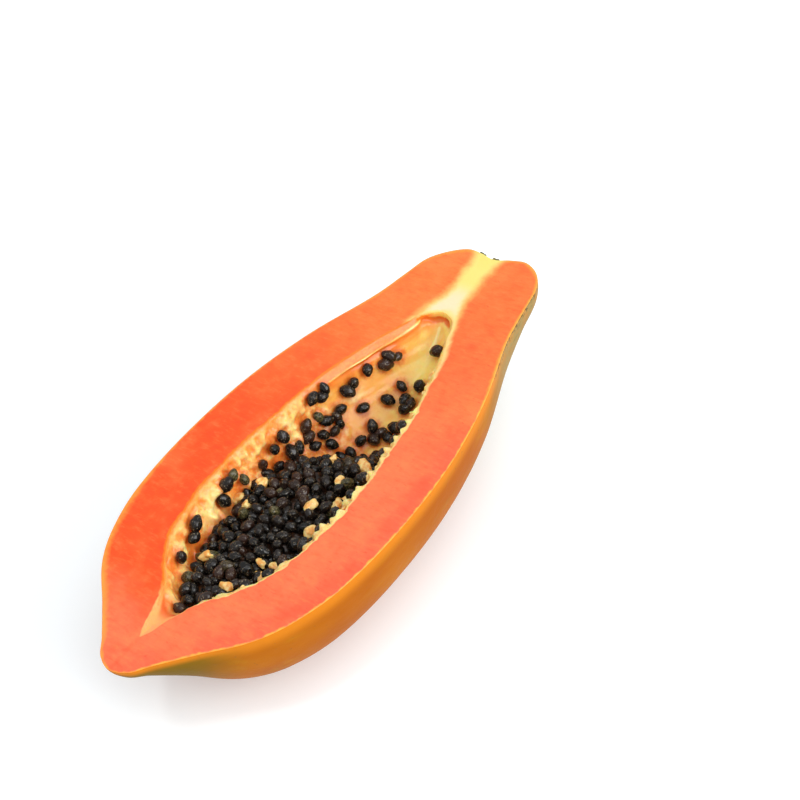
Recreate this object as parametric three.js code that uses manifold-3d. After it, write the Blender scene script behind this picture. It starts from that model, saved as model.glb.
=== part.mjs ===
// Half of a ripe papaya, cut lengthwise, lying on its skin with the cut face up and level.
// Millimetres. +X runs along the fruit towards the stem end, Y across it, +Z up.
// The origin lies on the surface under the middle of the fruit.
import * as THREE from 'three';
import { mergeVertices } from 'three/addons/utils/BufferGeometryUtils.js';
import Module from 'manifold-3d';

const wasm = await Module();
wasm.setup();

// ---- Driving dimensions ----------------------------------------------------

const CUT_HEIGHT = 58;        // cut face above the surface that the fruit lies on
const SECTION_POWER = 2.2;    // the skin's cross-section is a superellipse of this power
const RIB_COUNT = 5;          // a papaya grows from five carpels
const RIB_HEIGHT = 0.012;     // swell of each rib, as a share of the radius
const STEM_TILT = 0.1;        // the stem end leans back towards +Y by this slope
const STEM_TILT_FROM = 104;   // where along X the lean starts

// Outline of the fruit from the blossom tip, round the shoulder and into the stem's dimple:
// [x, half-width of the cut face, depth below the cut face].
const FRUIT_PROFILE = [
  [-127.5, 0, 0],
  [-124.5, 7.4, 6.6],
  [-118.5, 12.6, 11.6],
  [-106, 24.5, 24.5],
  [-92, 38.2, 41],
  [-78, 46.3, 50.5],
  [-57, 52.6, 56.6],
  [-25, 55.2, 58.6],
  [12, 53.3, 57.5],
  [47, 46.2, 52.4],
  [81, 34.7, 39],
  [100, 30.6, 27.6],
  [113, 27.8, 23],
  [121, 22.6, 18.8],
  [126.2, 14.6, 12.6],
  [125.4, 7, 6.2],
  [123.2, 0, 0],
];

// The seed hollow, from its shallow tail at the blossom end to its tip under the core:
// [x, half-width of the opening, depth below the cut face].
const HOLLOW_PROFILE = [
  [-110.5, 0, 0],
  [-106, 2.3, 0.8],
  [-98, 4.8, 2.2],
  [-93, 7, 6.5],
  [-86, 10.8, 12.5],
  [-80, 16.2, 17],
  [-69, 23.3, 24],
  [-50, 28, 30],
  [-30, 29.7, 32.5],
  [3, 28, 32.5],
  [28, 25, 29],
  [55, 17.7, 21],
  [72, 10.9, 14],
  [81, 7, 8],
  [84.5, 0, 0],
];
const HOLLOW_POWER = 2.2;     // its cross-section is a little fuller than an ellipse
const HOLLOW_LOBES = 0.03;    // swell of its five lobes, as a share of the radius
const FLARE_WIDTH = 3.4;      // the opening flares out by this much at the cut face,
const FLARE_SHARE = 0.25;     // or by this share of its half-width where it is narrow,
const FLARE_DEPTH = 6;        // from this far down

// The heap of loose seeds in the hollow: [x, middle across, half-width, top below the cut face].
const HEAP_PROFILE = [
  [-91, 3, 4, 5],
  [-84, 3, 10, 7.5],
  [-76, 1.5, 16, 8],
  [-65, -1, 21.5, 9],
  [-48, -1.5, 26, 10],
  [-32, -1, 29, 11],
  [-15, -1, 30, 12.5],
  [-4, -2, 27, 14],
  [3, -6, 20, 16],
  [9, -10, 13, 18.5],
  [15, -13, 7, 22],
];
const HEAP_BOTTOM = 38;       // below the hollow's floor, which trims the heap
const HEAP_CORE_SINK = 1.1;   // the heap's solid core lies this far below its seeds' middles
const HEAP_SEEDS = 150;
const HEAP_SPACING = 4.6;     // least distance between the middles of two seeds

const SEED_LENGTH = 6.2;
const SEED_WIDTH = 4.9;
const SEED_VARIATION = 0.12;
const SEED_SINK = 0.75;       // how far a stray seed's middle stands off the wall, in half-widths
const CLEARANCE = 0.5;        // gap left between the heap and the fruit

// Seeds that cling to the wall one by one: [x, degrees up the wall from its floor towards +Y].
const STRAY_SEEDS = [
  [72, -35], [61, 60], [58, 69], [55, 62], [47, 72], [54, 18], [57, -16], [46, 22], [50, 0], [49, -14],
  [46, -8], [39, 70], [35, 67], [26, 84], [19, 84], [23, 81], [28, 57], [25, 54], [24, 47], [36, 40],
  [33, 17], [33, 3], [32, -8], [37, -11], [25, 17], [29, 6], [22, -9], [18, 67], [20, 59], [20, 45],
  [15, 51], [15, 38], [11, 69], [9, 60], [9, 49], [14, 23], [18, 17], [10, 23], [12, 7], [19, 2],
  [13, -1], [3, 59], [-1, 77], [-1, 61], [-7, 74], [-15, 71], [-11, 65], [-30, 83], [-26, 73], [-30, 66],
  [-35, 82], [-39, 73], [-57, 81], [-61, 74], [-57, 58], [-64, 64], [-73, 76], [-76, 64],
];
const STRAY_MARGIN = 0.2;     // a stray that, swollen by this share, would touch the heap is part of it

// ---- Curves ----------------------------------------------------------------

const QUARTER_TURN = Math.PI / 2;
const FULL_TURN = Math.PI * 2;
const clamp = (value, low, high) => Math.min(Math.max(value, low), high);
const power = (value, exponent) => Math.sign(value) * Math.abs(value) ** exponent;

// Value at t of a smooth curve through rows of numbers, one row at each knot.
function smooth(knots, rows, t) {
  const last = knots.length - 1;
  let i = 1;
  while (i < last && t > knots[i]) i += 1;
  const span = knots[i] - knots[i - 1];
  const u = clamp((t - knots[i - 1]) / span, 0, 1);
  return rows[i].map((_, column) => {
    const slope = (j) => {
      const before = Math.max(j - 1, 0);
      const after = Math.min(j + 1, last);
      return (rows[after][column] - rows[before][column]) / (knots[after] - knots[before]);
    };
    const start = rows[i - 1][column];
    const end = rows[i][column];
    return start * (1 + 2 * u) * (1 - u) ** 2 + slope(i - 1) * span * u * (1 - u) ** 2
      + end * (3 - 2 * u) * u ** 2 - slope(i) * span * u ** 2 * (1 - u);
  });
}

// A profile as a function of x.
const alongX = (profile, x) => smooth(profile.map((row) => row[0]), profile, x);

// Points spread along a profile that starts and ends on the fruit's axis, which it leaves squarely.
function roundEnded(profile, count) {
  const mirrored = ([x, width, depth]) => [x, -width, -depth];
  const rows = [mirrored(profile[1]), ...profile, mirrored(profile.at(-2))];
  const knots = [0];
  for (let i = 1; i < rows.length; i += 1) {
    knots.push(knots[i - 1] + Math.hypot(...rows[i].map((value, k) => value - rows[i - 1][k])));
  }
  const start = knots[1];
  const end = knots.at(-2);
  return Array.from({ length: count + 1 }, (_, i) => smooth(knots, rows, start + (end - start) * i / count));
}

// A repeatable stream of numbers from 0 to 1.
function randomStream(seed) {
  let state = seed;
  return () => {
    state = (state + 0x6d2b79f5) | 0;
    let mixed = Math.imul(state ^ (state >>> 15), 1 | state);
    mixed = (mixed + Math.imul(mixed ^ (mixed >>> 7), 61 | mixed)) ^ mixed;
    return ((mixed ^ (mixed >>> 14)) >>> 0) / 2 ** 32;
  };
}

// ---- Solids ----------------------------------------------------------------

function solidOf(geometry) {
  const bare = geometry.clone();
  bare.deleteAttribute('normal');
  bare.deleteAttribute('uv');
  const merged = mergeVertices(bare, 1e-5);
  return new wasm.Manifold(new wasm.Mesh({
    numProp: 3,
    vertProperties: new Float32Array(merged.getAttribute('position').array),
    triVerts: new Uint32Array(merged.index.array),
  }));
}

function geometryOf(solid) {
  const { numProp, vertProperties, triVerts } = solid.getMesh();
  const positions = [];
  for (let i = 0; i < vertProperties.length; i += numProp) {
    positions.push(vertProperties[i], vertProperties[i + 1], vertProperties[i + 2]);
  }
  const geometry = new THREE.BufferGeometry();
  geometry.setAttribute('position', new THREE.Float32BufferAttribute(positions, 3));
  geometry.setIndex([...triVerts]);
  geometry.computeVertexNormals();
  return geometry;
}

// A closed skin over rings of points that follow each other along +X, with a point at each end.
function loft(rings, startPoint, endPoint) {
  const sides = rings[0].length;
  const positions = [...startPoint, ...endPoint, ...rings.flat(2)];
  const vertex = (ring, side) => 2 + ring * sides + (side % sides);
  const faces = [];
  for (let side = 0; side < sides; side += 1) {
    faces.push(0, vertex(0, side + 1), vertex(0, side));
    faces.push(1, vertex(rings.length - 1, side), vertex(rings.length - 1, side + 1));
    for (let ring = 0; ring < rings.length - 1; ring += 1) {
      const [a, b] = [vertex(ring, side), vertex(ring, side + 1)];
      const [c, d] = [vertex(ring + 1, side), vertex(ring + 1, side + 1)];
      faces.push(a, b, c, b, d, c);
    }
  }
  const geometry = new THREE.BufferGeometry();
  geometry.setAttribute('position', new THREE.Float32BufferAttribute(positions, 3));
  geometry.setIndex(faces);
  return solidOf(geometry);
}

// One superellipse across the fruit; angle 0 points down and the ring turns towards +Y.
function sectionRing(x, width, depth, sides, exponent, swell) {
  return Array.from({ length: sides }, (_, side) => {
    const angle = FULL_TURN * side / sides;
    const reach = 1 + swell * Math.cos(RIB_COUNT * angle);
    return [
      x,
      width * reach * power(Math.sin(angle), 2 / exponent),
      -depth * reach * power(Math.cos(angle), 2 / exponent),
    ];
  });
}

function box(low, high) {
  const size = high.map((value, k) => value - low[k]);
  const middle = high.map((value, k) => (value + low[k]) / 2);
  return solidOf(new THREE.BoxGeometry(...size).translate(...middle));
}

// ---- The fruit -------------------------------------------------------------

const FRUIT_STATIONS = 46;
const FRUIT_SIDES = 56;
const HOLLOW_STATIONS = 34;
const HOLLOW_SIDES = 14;      // from its floor to its rim
const RIM_CROWDING = 1.5;     // these lie closer together towards the rim
const ABOVE_CUT = 10;         // cutting solids stand this far above the cut face
const FAR = 200;              // beyond every solid
const LEAST_SIZE = 0.1;       // a ring of the hollow is at least this wide and deep
const HALVINGS = 18;          // finds a depth on the wall to a thousandth of a millimetre
const FACING_STEP = 0.5;      // the wall's slope is measured over this distance each way along it
const FACING_TURN = 0.01;     // and over this angle each way round it

// Leans the stem end back, so that one shoulder stands further out than the other.
function leanStemEnd([x, y, z]) {
  const share = clamp((x - STEM_TILT_FROM) / (FRUIT_PROFILE.at(-1)[0] - STEM_TILT_FROM), 0, 1);
  return [x - STEM_TILT * y * share ** 2 * (3 - 2 * share), y, z];
}

function wholeFruit() {
  const stations = roundEnded(FRUIT_PROFILE, FRUIT_STATIONS);
  const rings = stations.slice(1, -1).map(([x, width, depth]) => (
    sectionRing(x, width, depth, FRUIT_SIDES, SECTION_POWER, RIB_HEIGHT).map(leanStemEnd)));
  return loft(rings, [stations[0][0], 0, 0], [stations.at(-1)[0], 0, 0]);
}

// A point of the hollow's wall: angle 0 is its floor and a quarter turn its rim, given as [y, z].
function wallPoint([, width, depth], angle) {
  const flare = Math.min(FLARE_WIDTH, FLARE_SHARE * width);
  const reach = 1 + HOLLOW_LOBES * Math.cos(RIB_COUNT * angle);
  const down = depth * reach * power(Math.cos(angle), 2 / HOLLOW_POWER);
  const across = (width - flare) * reach * power(Math.sin(angle), 2 / HOLLOW_POWER);
  const flareLeft = Math.max(1 - down / Math.min(FLARE_DEPTH, depth), 0) ** 2;
  return [across + flare * flareLeft, -down];
}

// The hollow's solid, drawn in from its wall by the given gap and open above the cut face.
function hollowSolid(gap) {
  const [start, end] = [HOLLOW_PROFILE[0][0] + gap, HOLLOW_PROFILE.at(-1)[0] - gap];
  const rings = [];
  for (let i = 1; i < HOLLOW_STATIONS; i += 1) {
    const x = (start + end) / 2 - (end - start) / 2 * Math.cos(Math.PI * i / HOLLOW_STATIONS);
    const [, width, depth] = alongX(HOLLOW_PROFILE, x);
    const row = [x, Math.max(width - gap, LEAST_SIZE), Math.max(depth - gap, LEAST_SIZE)];
    const ring = [];
    for (let side = -HOLLOW_SIDES; side <= HOLLOW_SIDES; side += 1) {
      const share = Math.abs(side) / HOLLOW_SIDES;
      const [across, up] = wallPoint(row, QUARTER_TURN * (1 - (1 - share) ** RIM_CROWDING));
      ring.push([x, Math.sign(side) * across, up]);
    }
    ring.push([x, row[1], ABOVE_CUT], [x, -row[1], ABOVE_CUT]);
    rings.push(ring);
  }
  return loft(rings, [start, 0, 0], [end, 0, 0]);
}

// Depth of the hollow's wall below a point seen from above, found by halving.
function wallDepth(x, y) {
  const row = alongX(HOLLOW_PROFILE, x);
  let [low, high] = [0, QUARTER_TURN];
  for (let round = 0; round < HALVINGS; round += 1) {
    const middle = (low + high) / 2;
    if (wallPoint(row, middle)[0] < Math.abs(y)) low = middle;
    else high = middle;
  }
  return -wallPoint(row, low)[1];
}

// A place on the hollow's wall at an angle up from its floor towards +Y, and the way that it faces.
function wallAt(x, angle) {
  const pointAt = (station, turn) => {
    const [across, up] = wallPoint(alongX(HOLLOW_PROFILE, station), Math.abs(turn));
    return new THREE.Vector3(station, Math.sign(turn) * across, up);
  };
  const ahead = pointAt(x + FACING_STEP, angle).sub(pointAt(x - FACING_STEP, angle));
  const upward = pointAt(x, angle + FACING_TURN).sub(pointAt(x, angle - FACING_TURN));
  return { point: pointAt(x, angle), facing: ahead.cross(upward).normalize() };
}

// ---- Seeds -----------------------------------------------------------------

const CORE_RINGS = 19;        // the heap's core is lofted over this many rings
const CORE_SIDES = 24;        // of this many sides
const HEAP_REACH = 0.84 * QUARTER_TURN;  // seeds lie up to this far round from the heap's top
const LEAST_ABOVE_WALL = 1;   // no seed of the heap has its middle nearer to the wall below it
const PLACE_TRIES = 6000;     // places drawn for the heap's seeds, most of them refused
const HEAP_PLACES_DRAW = 5;   // each draw has its own stream of random numbers
const HEAP_SHAPES_DRAW = 23;
const STRAY_SHAPES_DRAW = 11;

// One seed: an egg-shaped solid with few sides, its length lying across the given direction.
function seedSolid(middle, facing, random) {
  const size = 1 + SEED_VARIATION * (2 * random() - 1);
  const geometry = new THREE.IcosahedronGeometry(1, 0);
  geometry.scale(SEED_LENGTH / 2 * size, SEED_WIDTH / 2 * size, SEED_WIDTH / 2 * size);
  geometry.rotateX(FULL_TURN * random());
  geometry.rotateZ(FULL_TURN * random());
  const turn = new THREE.Quaternion().setFromUnitVectors(new THREE.Vector3(0, 0, 1), facing);
  geometry.applyQuaternion(turn);
  geometry.translate(middle.x, middle.y, middle.z);
  return solidOf(geometry);
}

// The heap's surface at x, turned by an angle from its top towards +Y.
function heapSurface(x, angle) {
  const [, middle, width, top] = alongX(HEAP_PROFILE, x);
  const height = (HEAP_BOTTOM - top) / 2;
  const facing = new THREE.Vector3(0, Math.sin(angle) / width, Math.cos(angle) / height).normalize();
  const point = new THREE.Vector3(
    x, middle + width * Math.sin(angle), height * Math.cos(angle) - (HEAP_BOTTOM + top) / 2);
  return { point, facing };
}

function heapCore() {
  const rings = [];
  const [start, end] = [HEAP_PROFILE[0][0], HEAP_PROFILE.at(-1)[0]];
  for (let i = 0; i < CORE_RINGS; i += 1) {
    const x = start + (end - start) * i / (CORE_RINGS - 1);
    rings.push(Array.from({ length: CORE_SIDES }, (_, side) => {
      const { point, facing } = heapSurface(x, -FULL_TURN * side / CORE_SIDES);
      return point.addScaledVector(facing, -HEAP_CORE_SINK).toArray();
    }));
  }
  const middleOf = (ring) => [0, 1, 2].map((k) => (ring[0][k] + ring[CORE_SIDES / 2][k]) / 2);
  return loft(rings, middleOf(rings[0]), middleOf(rings.at(-1)));
}

// Seeds strewn over the heap's surface, each at least a spacing from the others and off the wall.
function heapSeedPlaces(random) {
  const places = [];
  const [start, end] = [HEAP_PROFILE[0][0], HEAP_PROFILE.at(-1)[0]];
  for (let tries = 0; tries < PLACE_TRIES && places.length < HEAP_SEEDS; tries += 1) {
    const place = heapSurface(start + (end - start) * random(), HEAP_REACH * (2 * random() - 1));
    const above = place.point.z + wallDepth(place.point.x, place.point.y);
    const clear = places.every(({ point }) => point.distanceTo(place.point) > HEAP_SPACING);
    if (above > LEAST_ABOVE_WALL && clear) places.push(place);
  }
  return places;
}

// ---- Sub-parts -------------------------------------------------------------

// A seed sunk a little into the wall, and the same one swollen by the margin.
function straySeed(random, [x, degrees]) {
  const { point, facing } = wallAt(x, THREE.MathUtils.degToRad(degrees));
  const middle = point.addScaledVector(facing, SEED_SINK * SEED_WIDTH / 2);
  const seed = seedSolid(middle, facing, random);
  const swollen = seed.translate(middle.clone().negate().toArray()).scale(1 + STRAY_MARGIN);
  return { seed, swollen: swollen.translate(middle.toArray()) };
}

// The heap: seeds standing out of a core, all of it clear of the hollow's wall.
function seedHeap() {
  const random = randomStream(HEAP_SHAPES_DRAW);
  let heap = heapCore();
  for (const { point, facing } of heapSeedPlaces(randomStream(HEAP_PLACES_DRAW))) {
    heap = heap.add(seedSolid(point, facing, random));
  }
  const room = hollowSolid(CLEARANCE).intersect(box([-FAR, -FAR, -FAR], [FAR, FAR, -CLEARANCE]));
  return heap.intersect(room);
}

// Flesh, skin and core grew as one piece; the seeds that cling to the wall are fused to it.
function fruitHalf(heap) {
  const below = box([-FAR, -FAR, -CUT_HEIGHT], [FAR, FAR, 0]);
  const random = randomStream(STRAY_SHAPES_DRAW);
  let fruit = wholeFruit().intersect(below).subtract(hollowSolid(0));
  for (const place of STRAY_SEEDS) {
    const { seed, swollen } = straySeed(random, place);
    if (swollen.intersect(heap).isEmpty()) fruit = fruit.add(seed);
  }
  return fruit.intersect(below);
}

function subPart(name, solid, color, roughness) {
  const material = new THREE.MeshStandardMaterial({ color, roughness, metalness: 0 });
  const mesh = new THREE.Mesh(geometryOf(solid), material);
  mesh.name = name;
  mesh.position.z = CUT_HEIGHT;
  return mesh;
}

const heap = seedHeap();
const papaya = new THREE.Group();
papaya.add(subPart('fruit_half', fruitHalf(heap), 0xf5753c, 0.45));
papaya.add(subPart('seed_heap', heap, 0x1d1a1c, 0.25));

export default papaya;
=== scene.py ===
"""Looks of the papaya half: skin, flesh, seed hollow, seeds and tissue, with a floor, lights and a camera.

Shapes are worked out in millimetres, with the cut face at z = 0, from the CAD model's driving dimensions.
on_floor() moves them into its frame, in metres with z = 0 on the floor. The stem end is at +x, and the
camera's far side at +y.
"""
import math

import bmesh
import bpy
import numpy as np
from mathutils import Matrix, Quaternion, Vector, noise


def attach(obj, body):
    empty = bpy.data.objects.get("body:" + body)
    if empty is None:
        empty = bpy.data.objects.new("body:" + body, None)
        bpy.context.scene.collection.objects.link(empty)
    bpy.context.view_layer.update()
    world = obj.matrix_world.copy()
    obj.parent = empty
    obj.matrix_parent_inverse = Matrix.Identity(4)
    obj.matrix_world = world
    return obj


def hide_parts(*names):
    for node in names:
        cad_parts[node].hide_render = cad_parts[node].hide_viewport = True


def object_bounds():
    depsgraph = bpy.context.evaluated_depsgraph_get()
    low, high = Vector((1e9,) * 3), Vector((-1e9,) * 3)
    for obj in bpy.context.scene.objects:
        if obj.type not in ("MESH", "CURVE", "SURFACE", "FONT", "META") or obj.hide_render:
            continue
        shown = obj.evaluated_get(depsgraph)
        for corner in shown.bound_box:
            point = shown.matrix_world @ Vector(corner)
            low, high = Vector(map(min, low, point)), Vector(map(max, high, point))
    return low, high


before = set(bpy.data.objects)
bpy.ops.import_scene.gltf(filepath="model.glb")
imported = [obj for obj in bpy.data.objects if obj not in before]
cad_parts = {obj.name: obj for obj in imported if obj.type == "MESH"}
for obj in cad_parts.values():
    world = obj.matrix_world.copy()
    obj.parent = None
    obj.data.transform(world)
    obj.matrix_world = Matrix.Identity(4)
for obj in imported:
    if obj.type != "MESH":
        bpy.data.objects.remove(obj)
cad_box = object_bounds()

# ---- Driving dimensions, in millimetres ----

MM = 0.001
CUT_HEIGHT = cad_box[1].z / MM
SECTION_POWER = 2.2  # 2 gives an oval, more a squarer section
RIB_COUNT = 5
RIB_HEIGHT = 0.012  # a share of the section's size
STEM_TILT = 0.1  # slope of the stem end, whose +y side ends sooner
STEM_TILT_FROM = 104

# Outline of the fruit, blossom tip to stem dimple: x, half-width of the cut face, depth below it.
FRUIT_PROFILE = [
    (-127.5, 0, 0), (-124.5, 7.4, 6.6), (-118.5, 12.6, 11.6), (-106, 24.5, 24.5), (-92, 38.2, 41),
    (-78, 46.3, 50.5), (-57, 52.6, 56.6), (-25, 55.2, 58.6), (12, 53.3, 57.5), (47, 46.2, 52.4),
    (81, 34.7, 39), (100, 30.6, 27.6), (113, 27.8, 23), (121, 22.6, 18.8), (126.2, 14.6, 12.6),
    (125.4, 7, 6.2), (123.2, 0, 0),
]
# The seed hollow, blossom end to stem end: x, half-width of its opening, depth.
HOLLOW_PROFILE = [
    (-110.5, 0, 0), (-106, 2.3, 0.8), (-98, 4.8, 2.2), (-93, 7, 6.5), (-86, 10.8, 12.5), (-80, 16.2, 17),
    (-69, 23.3, 24), (-50, 28, 30), (-30, 29.7, 32.5), (3, 28, 32.5), (28, 25, 29), (55, 17.7, 21),
    (72, 10.9, 14), (81, 7, 8), (84.5, 0, 0),
]
HOLLOW_DEPTH = max(depth for _, _, depth in HOLLOW_PROFILE)
HOLLOW_POWER = 2.2
HOLLOW_LOBES = 0.03  # a share of the hollow's size
FLARE_WIDTH = 3.4  # the wall flares out by this much at the cut face,
FLARE_SHARE = 0.25  # or by this share of the half-width where that is less,
FLARE_DEPTH = 6  # and the flare reaches this far down
# The heap of loose seeds: x, middle across, half-width, top below the cut face.
HEAP_PROFILE = [
    (-91, 3, 4, 5), (-84, 3, 10, 7.5), (-76, 1.5, 16, 8), (-65, -1, 21.5, 9), (-48, -1.5, 26, 10),
    (-32, -1, 29, 11), (-15, -1, 30, 12.5), (-4, -2, 27, 14), (3, -6, 20, 16), (9, -10, 13, 18.5),
    (15, -13, 7, 22),
]
HEAP_BOTTOM = 38  # depth of the lowest point of its oval section
HEAP_SEEDS = 150
HEAP_SPACING = 4.6
HEAP_DRAW = 5  # the CAD model draws the same numbers
HEAP_REACH = 0.42 * math.pi  # its seeds lie up to this turn from its top
LEAST_ABOVE_WALL = 1
PLACE_TRIES = 6000
SEED_LENGTH = 6.4
SEED_WIDTH = 4.7
SEED_SPREAD = 0.18  # seeds are up to this share larger or smaller
SEED_SINK = 0.75  # a stray's middle stands this share of its half-width off the wall
STRAY_GAP = 4.3  # a stray with its middle nearer than this to a seed of the heap is part of it
# Seeds that cling to the wall one by one: x, degrees up the wall from its floor towards +Y.
STRAY_SEEDS = [
    (72, -35), (61, 60), (58, 69), (55, 62), (47, 72), (54, 18), (57, -16), (46, 22), (50, 0), (49, -14),
    (46, -8), (39, 70), (35, 67), (26, 84), (19, 84), (23, 81), (28, 57), (25, 54), (24, 47), (36, 40),
    (33, 17), (33, 3), (32, -8), (37, -11), (25, 17), (29, 6), (22, -9), (18, 67), (20, 59), (20, 45),
    (15, 51), (15, 38), (11, 69), (9, 60), (9, 49), (14, 23), (18, 17), (10, 23), (12, 7), (19, 2),
    (13, -1), (3, 59), (-1, 77), (-1, 61), (-7, 74), (-15, 71), (-11, 65), (-30, 83), (-26, 73), (-30, 66),
    (-35, 82), (-39, 73), (-57, 81), (-61, 74), (-57, 58), (-64, 64), (-73, 76), (-76, 64),
]
# More small seeds close under the near rim, among its scraps of tissue.
RIM_SEEDS = [
    (23.5, -84), (17, -80), (9.5, -80), (-5.8, -83), (-16.2, -84), (-26.6, -85), (-36, -83), (-45.5, -83),
    (-55.8, -83), (-62.5, -80), (-72.6, -83), (-80.1, -79), (-85, -78),
]

# ---- Curves and noise ----

FAR = 30.0  # stands for any long distance
NOISE_APART = 17.3  # draws of noise are taken this far apart


def smooth(knots, rows, at):
    """Rows of a smooth curve through the given rows, one at each knot."""
    knots, rows, at = np.asarray(knots, float), np.asarray(rows, float), np.atleast_1d(at).astype(float)
    slopes = np.empty_like(rows)
    slopes[1:-1] = (rows[2:] - rows[:-2]) / (knots[2:] - knots[:-2])[:, None]
    slopes[0] = (rows[1] - rows[0]) / (knots[1] - knots[0])
    slopes[-1] = (rows[-1] - rows[-2]) / (knots[-1] - knots[-2])
    i = np.clip(np.searchsorted(knots, at), 1, len(knots) - 1)
    span = (knots[i] - knots[i - 1])[:, None]
    u = np.clip((at - knots[i - 1])[:, None] / span, 0, 1)
    return (rows[i - 1] * (1 + 2 * u) * (1 - u) ** 2 + slopes[i - 1] * span * u * (1 - u) ** 2
            + rows[i] * (3 - 2 * u) * u ** 2 - slopes[i] * span * u ** 2 * (1 - u))


def along_x(profile, x):
    """Rows of a profile's smooth curve at the given x."""
    return smooth([row[0] for row in profile], profile, x)


def straight(pairs, x):
    """Values at x on straight lines through pairs of x and value."""
    return np.interp(x, *zip(*pairs))


def step(value, low, high):
    """0 below low, 1 above high and a smooth rise between. It falls where high is below low."""
    t = np.clip((np.asarray(value, float) - low) / (high - low), 0, 1)
    return t * t * (3 - 2 * t)


def ridge(value, middle, width):
    """1 at the middle, with a smooth fall to 0 on both sides."""
    return np.exp(-((value - middle) / width) ** 2)


def bumps(points, size, draw=0):
    """Smooth noise of about -1 to 1 at each point. size is a bump's width, or its width along each axis."""
    places = np.asarray(points, float) / size + NOISE_APART * draw
    values = [noise.noise(Vector(place)) for place in places.reshape(-1, 3)]
    return np.array(values).reshape(places.shape[:-1]) * 2


def random_stream(seed):
    """The CAD model's stream of repeatable numbers from 0 to 1, so that the seeds lie where it has them."""
    state, mask = seed, 0xffffffff
    while True:
        state = (state + 0x6d2b79f5) & mask
        mixed = (state ^ (state >> 15)) * (1 | state) & mask
        mixed = (mixed + ((mixed ^ (mixed >> 7)) * (61 | mixed) & mask) & mask) ^ mixed
        yield ((mixed ^ (mixed >> 14)) & mask) / 2 ** 32


# ---- Meshes ----

def on_floor(points):
    """Points in millimetres from the cut face, as metres from the floor."""
    return (np.asarray(points, float) + [0, 0, CUT_HEIGHT]) * MM


def scene_object(name, data):
    made = bpy.data.objects.new(name, data)
    bpy.context.scene.collection.objects.link(made)
    return made


def mesh_object(name, vertices, faces, materials, face_materials=None):
    """A smooth-shaded mesh object, from vertices in millimetres."""
    mesh = bpy.data.meshes.new(name)
    mesh.from_pydata(on_floor(vertices).tolist(), [], faces)
    for material in materials:
        mesh.materials.append(material)
    if face_materials is not None:
        mesh.polygons.foreach_set("material_index", np.asarray(face_materials, np.int32))
    mesh.shade_smooth()
    mesh.validate()
    return scene_object(name, mesh)


def store(piece, name, values):
    """Keeps one number for each vertex, which the materials read by its name."""
    attribute = piece.data.attributes.new(name, "FLOAT", "POINT")
    attribute.data.foreach_set("value", np.asarray(values, np.float32).ravel())


def ring_faces(index):
    """Faces between closed rings of numbered points, where one number is one point.

    Gives the numbers in use, the faces and each face's column.
    """
    used, places = np.unique(index, return_inverse=True)
    near, far = places.reshape(index.shape)[:-1], places.reshape(index.shape)[1:]
    quads = np.stack([near, np.roll(near, -1, 1), np.roll(far, -1, 1), far], axis=-1)
    faces, columns = [], []
    for ring in quads.tolist():
        for column, quad in enumerate(ring):
            corners = list(dict.fromkeys(quad))
            if len(corners) > 2:
                faces.append(corners)
                columns.append(column)
    return used, faces, columns


def ball(subdivisions):
    """Points and triangles of an evenly divided ball of radius 1."""
    shape = bmesh.new()
    bmesh.ops.create_icosphere(shape, subdivisions=subdivisions, radius=1)
    points = np.array([vertex.co for vertex in shape.verts])
    faces = [[vertex.index for vertex in face.verts] for face in shape.faces]
    shape.free()
    return points, faces


def turn_to(facing):
    """The turn that takes +Z to the way that a place faces."""
    return Vector((0, 0, 1)).rotation_difference(facing)


def keep_below_cut(shape, gap):
    """Lowers a body until its top is at least a gap below the cut face."""
    shape[:, 2] -= max(shape[:, 2].max() + gap, 0)


def bodies_object(name, bodies, faces, material):
    """One piece of many bodies with the same faces, each given by its points."""
    all_faces = [[corner + number * len(body) for corner in face]
                 for number, body in enumerate(bodies) for face in faces]
    return mesh_object(name, np.vstack(bodies), all_faces, [material])


# ---- The fruit's form ----

STATIONS = 400  # steps along the fruit,
SKIN_COLUMNS = 64  # round the skin,
FLESH_COLUMNS = 26  # from the skin to the hollow
HOLLOW_COLUMNS = 120  # and across the hollow
FIRST_HOLLOW = SKIN_COLUMNS + FLESH_COLUMNS
LAST_HOLLOW = FIRST_HOLLOW + HOLLOW_COLUMNS
HOLLOW_SAMPLES = 6000  # points that measure its edge's length
HALVINGS = 18  # steps that find the wall under a point
EDGE_CROWDING = 1.6  # columns crowd towards the cut face
SKIN_EDGE = 0.35  # the cut rounds the skin's edge by this much,
SKIN_EDGE_FULL = 6  # in full where the half-width is at least this,
HOLLOW_EDGE = 0.3  # and the hollow's edge by this,
HOLLOW_EDGE_FULL = 3  # in full from this half-width on
EDGE_BUMPS = [(0.45, 11, 0), (0.35, 4.5, 4), (0.22, 1.9, 8)]  # height, width and draw of its raggedness
EDGE_FADE = 3  # it dies out over this distance down the wall
NEAR_EDGE_BACK = 0.9  # the near edge is torn back this far along the heap
STEM_SIDE = (14, 32)  # from the seedy wall to the smooth sheet by the stem
SIDES_APART = 40  # keeps the noise on the two walls apart
LEDGE_RUN = 2.6  # the teeth of torn tissue stand this far down from the near edge
# Their height along the edge: x, share.
LEDGE_HEIGHTS = [
    (-90, 0), (-84, 0.3), (-38, 0.3), (-32, 1.5), (-20, 1.5), (-14, 0.9), (4, 0.9), (12, 1.2), (34, 1.2),
    (42, 0.3), (60, 0),
]
LIP_RUN = 4.8  # a thin ridge runs this far down from the far edge at the stem side,
LIP_RISE = [(58, 0), (68, 0.8), (76, 2), (81, 3.5)]  # less this: x, distance
TIP_ROUNDING = 0.6  # power by which the hollow's stem tip is rounded
TIP_FROM = 70  # a groove runs round the tip from this x on,
TIP_EDGE_FROM = 64  # along the edge from this x on
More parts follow.
